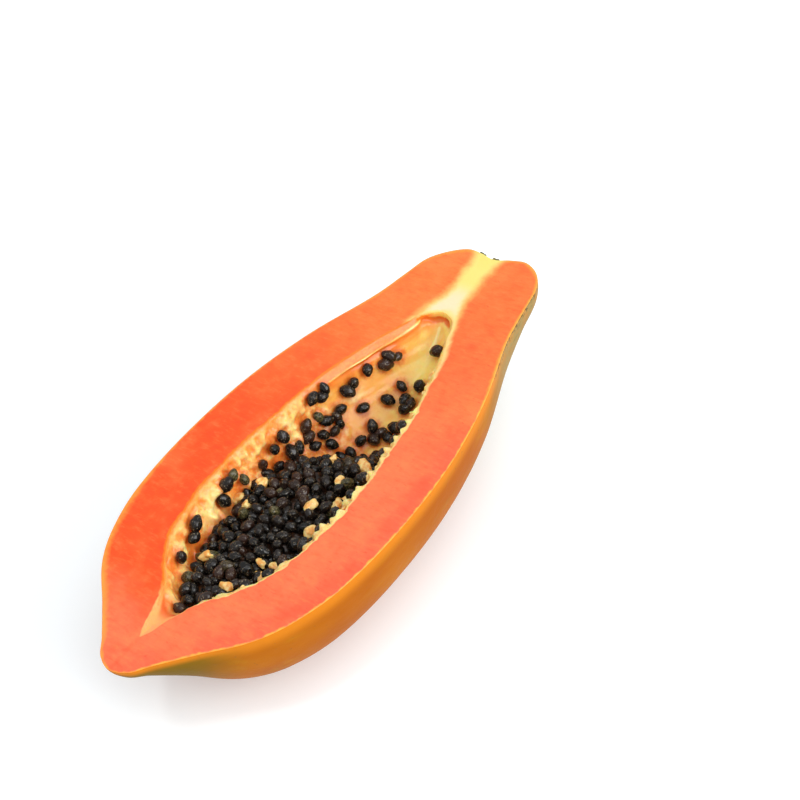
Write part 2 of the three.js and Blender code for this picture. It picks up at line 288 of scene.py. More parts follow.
# The pale core from the hollow's tip to the stem: x and half-width, x and middle across.
CORE_FROM = 64
CORE_WIDTHS = [
    (64, 5), (73, 10), (78, 8.6), (85, 7.3), (90, 5.5), (98, 4.5), (105, 4.2), (115, 5.3), (120, 6),
    (126, 7),
]
CORE_MIDDLES = [(80, 0.3), (100, 1.2), (120, 2.7)]


def fruit_stations():
    """Rows of x, half-width and depth at even steps along the profile, which leaves its axis square."""
    rows = np.array(FRUIT_PROFILE, float)
    mirror = np.array([1, -1, -1])
    rows = np.vstack([rows[1] * mirror, rows, rows[-2] * mirror])
    knots = np.concatenate([[0], np.cumsum(np.linalg.norm(np.diff(rows, axis=0), axis=1))])
    return smooth(knots, rows, np.linspace(knots[1], knots[-2], STATIONS + 1))


def hollow_stations():
    """Rows of x, half-width and depth at even steps along the hollow's edge."""
    x = np.linspace(HOLLOW_PROFILE[0][0], HOLLOW_PROFILE[-1][0], HOLLOW_SAMPLES)
    rows = along_x(HOLLOW_PROFILE, x)
    length = np.concatenate([[0], np.cumsum(np.hypot(np.diff(rows[:, 0]), np.diff(rows[:, 1])))])
    rows = along_x(HOLLOW_PROFILE, np.interp(np.linspace(0, length[-1], STATIONS + 1), length, x))
    start, start_width, _ = HOLLOW_PROFILE[-2]
    end = HOLLOW_PROFILE[-1][0]
    tip = rows[:, 0] > start
    rows[tip, 1] = start_width * (np.maximum(end - rows[tip, 0], 0) / (end - start)) ** TIP_ROUNDING
    return rows


def wall_point(width, depth, angle):
    """The hollow's wall, across and below the cut face. Angle 0 is its floor, a quarter turn its edge."""
    flare = np.minimum(FLARE_WIDTH, FLARE_SHARE * width)
    reach = 1 + HOLLOW_LOBES * np.cos(RIB_COUNT * angle)
    down = depth * reach * np.maximum(np.cos(angle), 0) ** (2 / HOLLOW_POWER)
    across = (width - flare) * reach * np.maximum(np.sin(angle), 0) ** (2 / HOLLOW_POWER)
    flare_depth = np.maximum(np.minimum(FLARE_DEPTH, depth), 0.01)
    return across + flare * np.maximum(1 - down / flare_depth, 0) ** 2, -down


def wall_depth(x, y):
    """Depth of the hollow's wall under one point seen from above, found by halving."""
    _, width, depth = along_x(HOLLOW_PROFILE, x)[0]
    low, high = 0, math.pi / 2
    for _ in range(HALVINGS):
        middle = (low + high) / 2
        if wall_point(width, depth, middle)[0] < abs(y):
            low = middle
        else:
            high = middle
    return -wall_point(width, depth, low)[1]


def wall_at(x, angle):
    """A place on the hollow's wall at an angle up from its floor towards +Y, and the way that it faces."""
    def point_at(station, turn):
        _, width, depth = along_x(HOLLOW_PROFILE, station)[0]
        across, up = wall_point(width, depth, abs(turn))
        return Vector((station, math.copysign(across, turn), up))
    ahead = point_at(x + 0.5, angle) - point_at(x - 0.5, angle)
    upward = point_at(x, angle + 0.01) - point_at(x, angle - 0.01)
    return point_at(x, angle), ahead.cross(upward).normalized()


def lean_stem_end(points):
    """Slopes the stem end, so that its +y side ends sooner than its -y side."""
    share = step(points[..., 0], STEM_TILT_FROM, FRUIT_PROFILE[-1][0])
    points[..., 0] -= STEM_TILT * points[..., 1] * share


def inside_cad_box(points):
    """Draws the skin in by the hair's breadth that its finer steps stand out of the faceted CAD model."""
    for axis in (0, 1):
        low, high = cad_box[0][axis] / MM, cad_box[1][axis] / MM
        least, most = points[..., axis].min(), points[..., axis].max()
        points[..., axis] = low + (points[..., axis] - least) * (high - low) / (most - least)


def crowded(share):
    """Angles of up to a quarter turn for shares of -1 to 1, closer together towards both ends."""
    return np.sign(share) * (1 - (1 - np.abs(share)) ** EDGE_CROWDING) * math.pi / 2


def skin_points(stations):
    """The skin's points at each station, from the edge at -y round the belly to the edge at +y."""
    angle = crowded(np.linspace(-1, 1, SKIN_COLUMNS + 1))
    x, width, depth = (column[:, None] for column in stations.T)
    reach = 1 + RIB_HEIGHT * np.cos(RIB_COUNT * angle)
    across = width * reach * np.sign(angle) * np.abs(np.sin(angle)) ** (2 / SECTION_POWER)
    down = depth * reach * np.maximum(np.cos(angle), 0) ** (2 / SECTION_POWER)
    down = np.minimum(np.maximum(down, SKIN_EDGE * np.minimum(1, width / SKIN_EDGE_FULL)), CUT_HEIGHT)
    return np.stack([x + 0 * across, across, -down], axis=-1)


def hollow_points(stations):
    """The bare wall's points at each station, from the hollow's edge at +y down and up to the one at -y."""
    angle = crowded(np.linspace(1, -1, HOLLOW_COLUMNS + 1))
    x, width, depth = (column[:, None] for column in stations.T)
    across, up = wall_point(width, depth, np.abs(angle))
    return np.stack([x + 0 * across, np.sign(angle) * across, up], axis=-1)


def flesh_points(outer, inner):
    """Points between the skin's edge and the hollow's at each station, and their distances from both."""
    share = (1 - np.cos(np.linspace(0, math.pi, FLESH_COLUMNS + 1)[1:-1])) / 2
    start, end = outer[:, None, :], inner[:, None, :]
    points = start + (end - start) * share[:, None]
    span = np.linalg.norm((end - start)[..., :2], axis=-1)
    from_skin, from_hollow = span * share, span * (1 - share)
    sink = (SKIN_EDGE * np.maximum(1 - from_skin / SKIN_EDGE, 0) ** 2
            + HOLLOW_EDGE * np.maximum(1 - from_hollow / HOLLOW_EDGE / 2, 0) ** 2)
    points[..., 2] = -sink
    return points, from_skin, from_hollow


def ragged_edge(stations):
    """How far the hollow's far and near edges stand in from their smooth lines at each station."""
    x = stations[:, 0]
    line = np.stack([x, 0 * x, 0 * x], axis=-1)
    far, near = (sum(height * bumps(line, width, draw + side) for height, width, draw in EDGE_BUMPS)
                 for side in (1, 2))
    far *= step(x, 45, 10)
    near -= NEAR_EDGE_BACK * step(x, -85, -60) * step(x, 10, -15)
    calm = step(stations[:, 1], 1, 6)
    return calm * far, calm * near


def edge_run(points):
    """Distance along each station's points from the nearer of its two ends."""
    steps = np.linalg.norm(np.diff(points, axis=1), axis=-1)
    run = np.concatenate([np.zeros((len(points), 1)), np.cumsum(steps, axis=1)], axis=1)
    return np.minimum(run, run[:, -1:] - run)


def edge_distance(points, rows):
    """Distance seen from above from each point of the hollow's tip to its edge, and FAR elsewhere."""
    edge = np.concatenate([rows[:, :2], rows[:, :2] * [1, -1]])
    edge = edge[edge[:, 0] > TIP_EDGE_FROM]
    distance = np.full(points.shape[:-1], FAR)
    near = points[..., 0] > TIP_FROM
    gaps = points[near][:, None, :2] - edge[None]
    distance[near] = np.hypot(gaps[..., 0], gaps[..., 1]).min(axis=1)
    return distance


def seed_folds(place):
    """Folds, ridges and nubs of the wall where the seeds grew."""
    folds = 1.1 * bumps(place, (12, 17, 5), 21)
    ridges = 1 - 2.2 * np.abs(bumps(place, (6.5, 9, 5), 22))
    nubs = np.maximum(bumps(place, (3.8, 4.4, 5), 23), -0.3)
    return folds + 0.65 * ridges + 1.15 * nubs + 0.25 * bumps(place, (1.8, 2.3, 5), 24)


def near_ledge(x, run, place):
    """A row of torn teeth just under the near edge."""
    teeth = 0.15 + 2.6 * np.maximum(bumps(place, (3.4, 3.0, 5), 31), -0.05)
    return straight(LEDGE_HEIGHTS, x) * ridge(run, LEDGE_RUN, 2) * teeth


def sheet_streaks(place):
    """Faint streaks of the smooth sheet by the stem."""
    return (0.1 * bumps(place, (26, 3.4, 5), 25) + 0.08 * bumps(place, (6, 2.5, 5), 26)
            + 0.35 * bumps(place, (16, 12, 5), 27))


def far_lip(x, run, place):
    """A thin ridge, with a groove below it, under the far edge at the stem side."""
    lip_run = LIP_RUN - straight(LIP_RISE, x) + 0.5 * bumps(place * [1, 0, 1], 14, 28)
    lip = 0.7 * ridge(run, lip_run, 0.5) - 0.9 * ridge(run, lip_run + 1.6, 1.2)
    return lip * (0.4 + 0.6 * step(x, 70, 56)) * step(x, 26, 42) * step(x, 81, 77)


def tip_folds(x, y, from_edge):
    """A groove and a fine ridge round the hollow's stem tip, and a fold that runs up to it."""
    rim = 0.35 * ridge(from_edge, 0.4, 0.3) - 1.3 * ridge(from_edge, 1.3, 0.6)
    fold = 0.5 * ridge(y, 1.5, 0.8) * step(x, 62, 74) * step(x, 83, 81)
    return step(x, 75, 79) * step(y, -4.5, -1.5) * rim + fold


def wall_relief(points, depth_share, run, from_edge):
    """Height of all that stands out of the hollow's wall. run is the distance down from its edge."""
    x, y = points[..., 0], points[..., 1]
    place = np.stack([x, run, SIDES_APART * np.sign(y)], axis=-1)
    away = step(run, 0.4, 4)
    height = step(x, 34, 12) * step(x, -98, -84) * away * seed_folds(place)
    height += step(y, 0, -3) * near_ledge(x, run, place)
    height += step(x, *STEM_SIDE) * away * sheet_streaks(place)
    height += step(y, 0, 3) * far_lip(x, run, place)
    height += tip_folds(x, y, from_edge)
    return height * step(depth_share, 0.02, 0.14)


def grid_normals(grid):
    """Unit normals of a grid of points, facing up out of the hollow."""
    normals = np.cross(np.gradient(grid, axis=0), np.gradient(grid, axis=1))
    length = np.linalg.norm(normals, axis=-1, keepdims=True)
    return -normals / np.maximum(length, 1e-9)


def hollow_wall(rows):
    """The finished wall's points, its relief and the distance down from its edge."""
    points = hollow_points(rows)
    run = edge_run(points)
    fade = np.exp(-run / EDGE_FADE)
    for side, rough in zip((1, -1), ragged_edge(rows)):
        points[..., 1] -= side * rough[:, None] * fade * (np.sign(points[..., 1]) == side)
    relief = wall_relief(points, rows[:, 2:3] / HOLLOW_DEPTH, run, edge_distance(points, rows))
    normals = grid_normals(points)
    points[1:-1, 1:-1] += (normals * relief[..., None])[1:-1, 1:-1]
    rounding = HOLLOW_EDGE * np.minimum(1, rows[:, 1:2] / HOLLOW_EDGE_FULL)
    points[..., 2] = np.minimum(points[..., 2], -rounding)
    return points, relief, run


def core_distance(points):
    """Distance outside the pale core that joins the hollow's tip to the stem, negative inside it."""
    x, y = points[..., 0], points[..., 1]
    distance = np.abs(y - straight(CORE_MIDDLES, x)) - straight(CORE_WIDTHS, x)
    return np.where(x > CORE_FROM, distance, FAR)


def seed_distance(points, seeds):
    """Distance from each point to the nearest seed's middle, or FAR."""
    nearest = np.full(points.shape[:-1], FAR)
    for middle, _ in seeds:
        np.minimum(nearest, np.linalg.norm(points - np.array(middle), axis=-1), out=nearest)
    return nearest


def fruit_numbers(rows, columns):
    """Numbers of the fruit's points. Those that fall together at its two ends share one."""
    index = np.arange(rows * columns).reshape(rows, columns)
    for row in (0, -1):
        index[row, :SKIN_COLUMNS] = index[row, SKIN_COLUMNS]
        index[row, FIRST_HOLLOW:LAST_HOLLOW + 1] = index[row, FIRST_HOLLOW]
        index[row, LAST_HOLLOW + 1:] = index[row, SKIN_COLUMNS + 1:FIRST_HOLLOW][::-1]
    return index


def make_fruit(materials, seeds):
    """One closed surface of skin, cut flesh and hollow, with a ring of points at each station."""
    skin = skin_points(fruit_stations())
    lean_stem_end(skin)
    inside_cad_box(skin)
    hollow, relief, run = hollow_wall(hollow_stations())
    plus, plus_skin, plus_hollow = flesh_points(skin[:, -1], hollow[:, 0])
    minus, minus_skin, minus_hollow = flesh_points(skin[:, 0], hollow[:, -1])
    grid = np.concatenate([skin, plus, hollow, minus[:, ::-1]], axis=1)
    skin_run = edge_run(skin)
    far, skin_far = np.full_like(run, FAR), np.full_like(skin_run, FAR)
    from_skin = np.concatenate([-skin_run, plus_skin, far, minus_skin[:, ::-1]], axis=1)
    from_hollow = np.concatenate([skin_far, plus_hollow, -run, minus_hollow[:, ::-1]], axis=1)
    height = np.zeros(grid.shape[:2])
    height[:, FIRST_HOLLOW:LAST_HOLLOW + 1] = relief

    used, faces, columns = ring_faces(fruit_numbers(*grid.shape[:2]))
    column_material = np.zeros(grid.shape[1], int)
    column_material[SKIN_COLUMNS:] = 1
    column_material[FIRST_HOLLOW:LAST_HOLLOW] = 2
    vertices = grid.reshape(-1, 3)[used]
    piece = mesh_object("fruit_flesh_and_skin", vertices, faces, materials, column_material[columns])
    store(piece, "from_skin", from_skin.ravel()[used])
    store(piece, "from_hollow", from_hollow.ravel()[used])
    store(piece, "relief", height.ravel()[used])
    store(piece, "from_core", core_distance(vertices))
    store(piece, "from_seed", seed_distance(vertices, seeds))
    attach(piece, "root")
    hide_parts("fruit_half")


# ---- Seeds ----

SEED_FORMS = 9  # different seeds, each turned and sized in many ways
SEED_NARROWING = 0.18  # one end is narrower by this share
SEED_GAP = 0.2  # every seed stays this far below the cut face
SEED_TURN = 0.3  # spread of its rise off its place, in radians
UNDER_SEEDS = 150  # seeds that show between those on top of the heap
UNDER_SPACING = 4.2
UNDER_SINK = 2.6
UNDER_DRAW = 6


def seed_form(points, draw):
    """One seed of half-width 1: egg-shaped, with a finely wrinkled coat."""
    wrinkles = (0.04 * (1 - 2 * np.abs(bumps(points, 0.7, draw))) + 0.07 * bumps(points, 1.4, draw + 30)
                + 0.015 * bumps(points, 0.3, draw + 60))
    shape = points * (1 + wrinkles)[:, None]
    shape[:, 0] *= SEED_LENGTH / SEED_WIDTH
    narrow = 1 - SEED_NARROWING * step(points[:, 0], 0.1, 1)
    shape[:, 1:] *= narrow[:, None]
    return shape


def heap_surface(x, angle):
    """A place on the heap at an angle from its top towards +Y, and the way that it faces."""
    _, middle, width, top = along_x(HEAP_PROFILE, x)[0]
    height, depth = (HEAP_BOTTOM - top) / 2, (HEAP_BOTTOM + top) / 2
    facing = Vector((0, math.sin(angle) / width, math.cos(angle) / height)).normalized()
    return Vector((x, middle + width * math.sin(angle), height * math.cos(angle) - depth)), facing


def heap_places(numbers, count, spacing, sink=0):
    """Places strewn over the heap, each at least a spacing from the others and above the wall."""
    places = []
    start, end = HEAP_PROFILE[0][0], HEAP_PROFILE[-1][0]
    for _ in range(PLACE_TRIES):
        if len(places) >= count:
            break
        x = start + (end - start) * next(numbers)
        point, facing = heap_surface(x, HEAP_REACH * (2 * next(numbers) - 1))
        point = point - sink * facing
        above = point.z + wall_depth(point.x, point.y)
        if above > LEAST_ABOVE_WALL and all((other - point).length > spacing for other, _ in places):
            places.append((point, facing))
    return places


def stray_places(spots, heaped):
    """Places of the seeds on the wall that are clear of the heap."""
    places = []
    for x, degrees in spots:
        point, facing = wall_at(x, math.radians(degrees))
        middle = point + facing * SEED_SINK * SEED_WIDTH / 2
        if all((other - middle).length > STRAY_GAP for other, _ in heaped):
            places.append((middle, facing))
    return places


def make_seeds(name, places, material, draws, subdivisions, unevenness=0.0):
    """One piece of many seeds, each roughly across the way that its place faces."""
    draw = np.random.default_rng(draws)
    points, faces = ball(subdivisions)
    forms = [seed_form(points, number + 1) for number in range(SEED_FORMS)]
    bodies, tones, shades = [], [], []
    for middle, facing in places:
        size = SEED_WIDTH / 2 * (1 + SEED_SPREAD * draw.uniform(-1, 1))
        turn = turn_to(facing)
        turn = turn @ Quaternion((0, 0, 1), draw.uniform(0, 2 * math.pi))
        turn = turn @ Quaternion((0, 1, 0), draw.normal(0, SEED_TURN + unevenness / 2))
        turn = turn @ Quaternion((1, 0, 0), draw.uniform(0, 2 * math.pi))
        middle = middle + facing * unevenness * draw.uniform(-1, 0.6)
        body = forms[draw.integers(SEED_FORMS)] @ np.array(turn.to_matrix()).T * size + np.array(middle)
        keep_below_cut(body, SEED_GAP)
        bodies.append(body)
        tones.append(np.full(len(points), draw.uniform()))
        shades.append(np.full(len(points), draw.uniform()))
    piece = bodies_object(name, bodies, faces, material)
    store(piece, "tone", tones)
    store(piece, "shade", shades)
    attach(piece, "root")
    return piece


# ---- Pulp, dark partly as painted shade, tissue and collar ----

PULP_INSET = (2, 1)  # inside the heap's blossom end and stem end
PULP_SIDE_INSET = 1
PULP_SINK = 3.2  # it lies this far below the tops of the heap's seeds,
PULP_TOP = -2  # and nowhere above this height
PULP_BELOW = 1  # it reaches this far into the wall
PULP_STATIONS = 90
PULP_COLUMNS = 60
TISSUE_DRAW = 41
TISSUE_FORM = [1.3, 0.95, 0.8]  # half-length, half-width and half-height of a scrap of size 1
TISSUE_LIFT = 0.8  # their middles stand this far off the heap's surface
TISSUE_GAP = 0.15  # and their tops this far below the cut face
RIM_SCRAPS = (-84, 62, 3.4)  # small scraps along the near edge: from x, to x, step
# Larger scraps on the heap: x, turn from its top towards +Y, size.
HEAP_SCRAPS = [
    (-32, 1.0, 3.12), (-64, 0.6, 2.28), (-22, 0.74, 2.4), (-24, -0.26, 2.28), (-34, -0.6, 2.88),
    (-57, -0.41, 1.8), (-55, -0.69, 2.88), (-62, -0.6, 2.04), (-69, -0.6, 2.4), (-73, -0.46, 2.16),
    (-7, -0.31, 2.04), (7, -0.17, 2.88), (-13, -0.6, 1.92), (-17, -0.55, 2.4), (-35, 0.65, 1.8),
    (4, 0.5, 1.92),
]
SHRED_FORM = [0.55, 1, 0.6]  # half-sizes along x, y and z, as shares of its half-length
SHRED_GAP = 0.1
# Dry shreds of the stalk's collar in the notch: x, y, depth of its middle, half-length.
COLLAR_SHREDS = [
    (124.7, 7.6, 0.7, 1.1), (124.2, 5.6, 0.6, 0.8), (123.9, 0.4, 0.8, 1.0), (123.8, -1.6, 0.8, 1.1),
    (123.5, 3.2, 3.2, 1.2), (123.6, -5.5, 3.0, 1.3), (123.8, 6.5, 4.4, 1.2), (123.4, 0.0, 5.4, 1.5),
]


def pulp_ring(x):
    """Points round the pulp at one station, over its lumpy top and back along the wall."""
    _, middle, width, top = along_x(HEAP_PROFILE, x)[0]
    across = middle + (width - PULP_SIDE_INSET) * np.sin(np.linspace(-1, 1, PULP_COLUMNS) * math.pi / 2)
    ring = np.stack([0 * across + x, across, 0 * across], axis=-1)
    height = (HEAP_BOTTOM - top) / 2
    dome = np.sqrt(np.maximum(1 - ((across - middle) / width) ** 2, 0)) * height - (HEAP_BOTTOM + top) / 2
    lumps = 0.9 * bumps(ring, 3.4, 51) + 0.4 * bumps(ring, 1.5, 52)
    ring[:, 2] = np.minimum(dome - PULP_SINK + lumps, PULP_TOP)
    below = ring.copy()
    wall = np.array([-wall_depth(x, y) for y in across])
    below[:, 2] = np.minimum(wall, ring[:, 2]) - PULP_BELOW
    return np.vstack([ring, below[::-1]])


def make_pulp_and_shade(material):
    """The wet pulp between and under the heap's seeds, a lumpy body on the wall, dark partly as its own
    colour and partly as painted shade between the seeds.
    """
    start, end = HEAP_PROFILE[0][0] + PULP_INSET[0], HEAP_PROFILE[-1][0] - PULP_INSET[1]
    rings = np.array([pulp_ring(x) for x in np.linspace(start, end, PULP_STATIONS)])
    rings[[0, -1]] = rings[[0, -1]].mean(axis=1, keepdims=True)
    index = np.arange(rings[..., 0].size).reshape(rings.shape[:2])
    index[0], index[-1] = index[0, 0], index[-1, 0]
    used, faces, _ = ring_faces(index)
    outward = [face[::-1] for face in faces]
    piece = mesh_object("seed_pulp_and_shade", rings.reshape(-1, 3)[used], outward, [material])
    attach(piece, "root")


def make_tissue(material):
    """Scraps of the pale tissue that held the seeds, along the near edge and among the seeds."""
    draw = np.random.default_rng(TISSUE_DRAW)
    points, faces = ball(4)
    spots = []
    for x in np.arange(*RIM_SCRAPS):
        x += draw.uniform(-1.3, 1.3)
        point, facing = wall_at(x, -math.radians(draw.uniform(70, 86)))
        spots.append((point, facing, draw.uniform(0.9, 2.1)))
    for x, angle, size in HEAP_SCRAPS:
        point, facing = heap_surface(x, angle)
        spots.append((point + facing * TISSUE_LIFT, facing, size))
    bodies = []
    for number, (point, facing, size) in enumerate(spots):
        rough = (1 + 0.26 * bumps(points, 1.1, 60 + number) + 0.06 * bumps(points, 0.45, 90 + number)
                 + 0.01 * bumps(points, 0.2, 120 + number))
        turn = turn_to(facing) @ Quaternion((0, 0, 1), draw.uniform(0, 6.3))
        body = points * rough[:, None] * TISSUE_FORM * size @ np.array(turn.to_matrix()).T + np.array(point)
        keep_below_cut(body, TISSUE_GAP)
        bodies.append(body)
    piece = bodies_object("tissue_scraps", bodies, faces, material)
    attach(piece, "root")


def make_collar(material):
    """The dry shreds that the stalk left at the stem end."""
    points, faces = ball(3)
    bodies = []
    for number, (x, y, depth, length) in enumerate(COLLAR_SHREDS):
        rough = 1 + 0.3 * bumps(points, 0.9, 160 + number)
        body = points * rough[:, None] * SHRED_FORM * length + [x, y, -depth]
        keep_below_cut(body, SHRED_GAP)
        bodies.append(body)
    piece = bodies_object("stalk_collar_shreds", bodies, faces, material)
    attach(piece, "root")


# ---- Colours ----

def rgb(red, green, blue):
    """A colour as the eye reads it, 0 to 255, as the linear colour that a shader takes."""
    def linear(value):
        value /= 255
        return value / 12.92 if value <= 0.04045 else ((value + 0.055) / 1.055) ** 2.4
    return linear(red), linear(green), linear(blue), 1


FLESH_FAR = rgb(242, 78, 15)
FLESH_RED = rgb(240, 60, 20)
FLESH_DASH = rgb(200, 58, 34)
FLESH_NEAR = rgb(244, 114, 72)
FLESH_PINK = rgb(243, 94, 64)
FLESH_STEM = rgb(243, 120, 50)
FLESH_NECK = rgb(243, 110, 48)
FLESH_PALE = rgb(243, 142, 76)
FLESH_BORDER = rgb(246, 160, 58)
CORE_PALE = rgb(243, 216, 120)
CORE_CREAM = rgb(242, 218, 182)
CORE_GREEN = rgb(226, 214, 110)
LINING_PALE = rgb(255, 212, 132)
LINING_ORANGE = rgb(252, 160, 76)
LINING_DEEP_SHADE = rgb(244, 122, 38)
LINING_SHEET = rgb(254, 180, 84)
LINING_YELLOW = rgb(255, 220, 124)
LINING_CREST_LIGHT = rgb(255, 228, 160)
LINING_SHADE = rgb(232, 124, 44)
GROOVE = rgb(252, 168, 98)
GROOVE_SHADE = rgb(232, 104, 40)
SEED_STAIN_AND_SHADE = rgb(224, 108, 34)
LIP_FAR = rgb(238, 116, 12)
LIP_SPECK = rgb(244, 136, 24)
SKIN_RIM = rgb(208, 122, 24)
SKIN_GOLD = rgb(172, 98, 6)
SKIN_TAN = rgb(160, 83, 5)
SKIN_UNDER_SHADE = rgb(162, 88, 8)
SKIN_YELLOW = rgb(176, 118, 14)
SKIN_OLIVE = rgb(104, 86, 8)
SKIN_SHOULDER = rgb(148, 102, 34)
SKIN_GREY = rgb(148, 124, 72)
SKIN_LICHEN = rgb(104, 92, 50)
SKIN_SPOTS = rgb(76, 66, 34)
SKIN_SPECK = rgb(126, 84, 40)
TIP_SCAR = rgb(70, 50, 26)
SEED_BLACK = rgb(5, 5, 5)
SEED_DARK = rgb(24, 17, 14)
SEED_BROWN = rgb(48, 27, 18)
SEED_OLIVE_DARK = rgb(34, 32, 18)
SEED_OLIVE = rgb(92, 86, 52)
SEED_FILM_AND_GLINTS = rgb(134, 122, 98)
PULP_DARK_SHADE = rgb(24, 15, 12)
PULP_BROWN = rgb(56, 32, 16)
PULP_AMBER = rgb(150, 84, 28)
TISSUE_ORANGE = rgb(232, 164, 78)
TISSUE_CREAM = rgb(250, 214, 138)
COLLAR_GREEN = rgb(62, 66, 30)
COLLAR_STRAW = rgb(116, 104, 52)
FLOOR_COLOR = (0.90, 0.955, 0.985, 1)
WHITE = (1, 1, 1, 1)


# ---- Materials, with distances and places in millimetres ----

INTO_GROOVE = (-86, -95)  # from the seedy wall to the groove at the blossom end


class Look:
    """A node material in the making. Its methods add nodes and return an output.

    A value is a number, a colour, an output, or a tuple of what step() takes, which becomes that step.
    """

    def __init__(self, name):
        self.material = bpy.data.materials.new(name)
        self.material.use_nodes = True
        self.tree = self.material.node_tree
        self.shader = self.tree.nodes["Principled BSDF"]
        self.place = self.node("ShaderNodeTexCoord").outputs["Object"]

    def node(self, kind, values=(), **settings):
        """A node with its settings, and values for its sockets by name or number."""
        node = self.tree.nodes.new(kind)
        for key, value in settings.items():
            setattr(node, key, value)
        for key, value in dict(values).items():
            self.put(node.inputs[key], value)
        return node

    def put(self, socket, value):
        """Fills a socket."""
        if isinstance(value, tuple) and isinstance(value[0], bpy.types.NodeSocket):
            value = self.step(*value)
        if isinstance(value, bpy.types.NodeSocket):
            self.tree.links.new(value, socket)
        else:
            socket.default_value = value

    def attribute(self, name):
        """A number that store() kept for each vertex."""
        return self.node("ShaderNodeAttribute", attribute_name=name).outputs["Fac"]

    def axis(self, name):
        """X, Y or Z of the place."""
        split = self.node("ShaderNodeSeparateXYZ", {"Vector": self.place}).outputs[name]
        return self.math("MULTIPLY", split, 1 / MM)

    def math(self, operation, first, second=0.0):
        return self.node("ShaderNodeMath", {0: first, 1: second}, operation=operation).outputs[0]

    def add(self, first, second):
        return self.math("ADD", first, second)

    def product(self, first, *others):
        for other in others:
            first = self.math("MULTIPLY", first, other)
        return first

    def noise(self, size, detail=2.0, roughness=0.5, distortion=0.0, stretch=(1, 1, 1)):
        """Noise of 0 to 1 with bumps of that size, drawn out along an axis by stretch."""
        place = self.place
        if stretch != (1, 1, 1):
            scale = tuple(1 / value for value in stretch)
            place = self.node("ShaderNodeMapping", {"Vector": place, "Scale": scale}).outputs[0]
        return self.node("ShaderNodeTexNoise", {
            "Vector": place, "Scale": 1 / (size * MM), "Detail": detail, "Roughness": roughness,
            "Distortion": distortion}).outputs["Fac"]

    def step(self, value, low, high, start=0.0, end=1.0, curve="SMOOTHSTEP"):
        """start before low, end past high and a rise or fall between."""
        return self.node("ShaderNodeMapRange", {
            "Value": value, "From Min": low, "From Max": high, "To Min": start, "To Max": end},
            interpolation_type=curve).outputs[0]

    def between(self, share, first, second):
        """A number from the first to the second as the share goes from 0 to 1."""
        return self.node("ShaderNodeMix", {0: share, 2: first, 3: second}).outputs[0]

    def mix(self, share, first, second):
        """A colour from the first to the second as the share goes from 0 to 1."""
        return self.node("ShaderNodeMix", {0: share, 6: first, 7: second}, data_type="RGBA").outputs[2]

    def layers(self, color, *layers):
        """Colours laid in turn over the first, each by the product of its shares."""
        for layer, *shares in layers:
            color = self.mix(self.product(*shares), color, layer)
        return color

    def bump(self, height, distance, normal=None):
        """A bump whose height of 0 to 1 stands for that distance, over another's normal."""
        values = {"Height": height, "Distance": distance * MM, "Strength": 1.0}
        if normal is not None:
            values["Normal"] = normal
        return self.node("ShaderNodeBump", values).outputs[0]

    def finish(self, **sockets):
        """Fills the shader's sockets by their names, and gives the material."""
        for key, value in sockets.items():
            self.put(self.shader.inputs[key.replace("_", " ")], value)
        return self.material


def flesh_ground(look):
    """Deep orange on the far side and pinker on the near one, and much alike by the stem."""
    x, y = look.axis("X"), look.axis("Y")
    drift = look.step(look.noise(18, detail=3), 0.2, 0.8, -9, 9)
    along = look.add(x, drift)
    to_stem = look.step(along, -25, 100)
    by_skin = (look.attribute("from_skin"), 14, 3)
    far = look.layers(FLESH_FAR, (FLESH_STEM, to_stem), (FLESH_NEAR, (along, -84, -112)))
    near = look.layers(FLESH_NEAR, (FLESH_NECK, to_stem), (FLESH_PINK, by_skin, (x, 40, 10), 0.7))
    return look.mix((look.add(y, drift), -12, 12), near, far)


def mottled_flesh(look, color, patches, mottle):
    """Clouds, patches, fibres and short dark dashes over the flesh, and a crease at its blossom end."""
    x, y = look.axis("X"), look.axis("Y")
    broad = look.noise(26, detail=2)
    fine = look.noise(1.5, detail=4, roughness=0.65, stretch=(1, 3.4, 1))
    dashes = look.noise(0.9, detail=1, stretch=(1, 3.2, 1))
    crease = (look.math("ABSOLUTE", y), 1.6, 0.2)
    return look.layers(
        color,
        (FLESH_RED, (patches, 0.45, 0.8, 0, 0.3)),
        (FLESH_PALE, (patches, 0.52, 0.2, 0, 0.3)),
        (FLESH_RED, (mottle, 0.5, 0.9, 0, 0.2)),
        (FLESH_PALE, (broad, 0.52, 0.78, 0, 0.3)),
        (FLESH_RED, (broad, 0.48, 0.22, 0, 0.25)),
        (FLESH_RED, (fine, 0.5, 0.78, 0, 0.35)),
        (FLESH_PALE, (fine, 0.5, 0.24, 0, 0.3)),
        (FLESH_DASH, (dashes, 0.71, 0.77, 0, 0.4), (y, 12, -12, 0.3, 1)),
        (FLESH_RED, crease, (x, -109, -112), (patches, 0.3, 0.6, 0.05, 0.25)))


def flesh_border(look, mottle):
    """Share of the yellower border under the skin, wider by the stem and the far blossom end."""
    x, y = look.axis("X"), look.axis("Y")
    distance = look.add(look.attribute("from_skin"), (mottle, 0, 1, -0.8, 0.8))
    far_width = look.add((x, 60, 80, 1.5, 3.4), (x, -35, -60, 0, 1.8))
    width = look.between((y, -4, 20), (x, 36, 60, 0.7, 2.2), far_width)
    return look.step(distance, 0, width, 0.95, 0, "LINEAR")


def lip_share(look, mottle):
    """Share of the hollow's lip on the cut face, which is widest on the near side at the stem."""
    x, y = look.axis("X"), look.axis("Y")
    distance = look.add(look.attribute("from_hollow"), (mottle, 0, 1, -0.5, 0.5))
    near_width = look.add((x, 30, 70, 0.9, 5), (x, -20, -42, 0, -0.5))
    width = look.between((y, 3, -3), (x, 70, 82, 1.2, 2), near_width)
    return look.step(distance, 0, width, 1, 0)


def lip_color(look):
    """Pale on the near side and at the tip, orange on the far side and between in the groove."""
    x, y = look.axis("X"), look.axis("Y")
    return look.layers(
        LINING_PALE,
        (LIP_FAR, (y, -2, 3), (x, 84, 72)),
        (GROOVE, (x, *INTO_GROOVE)))


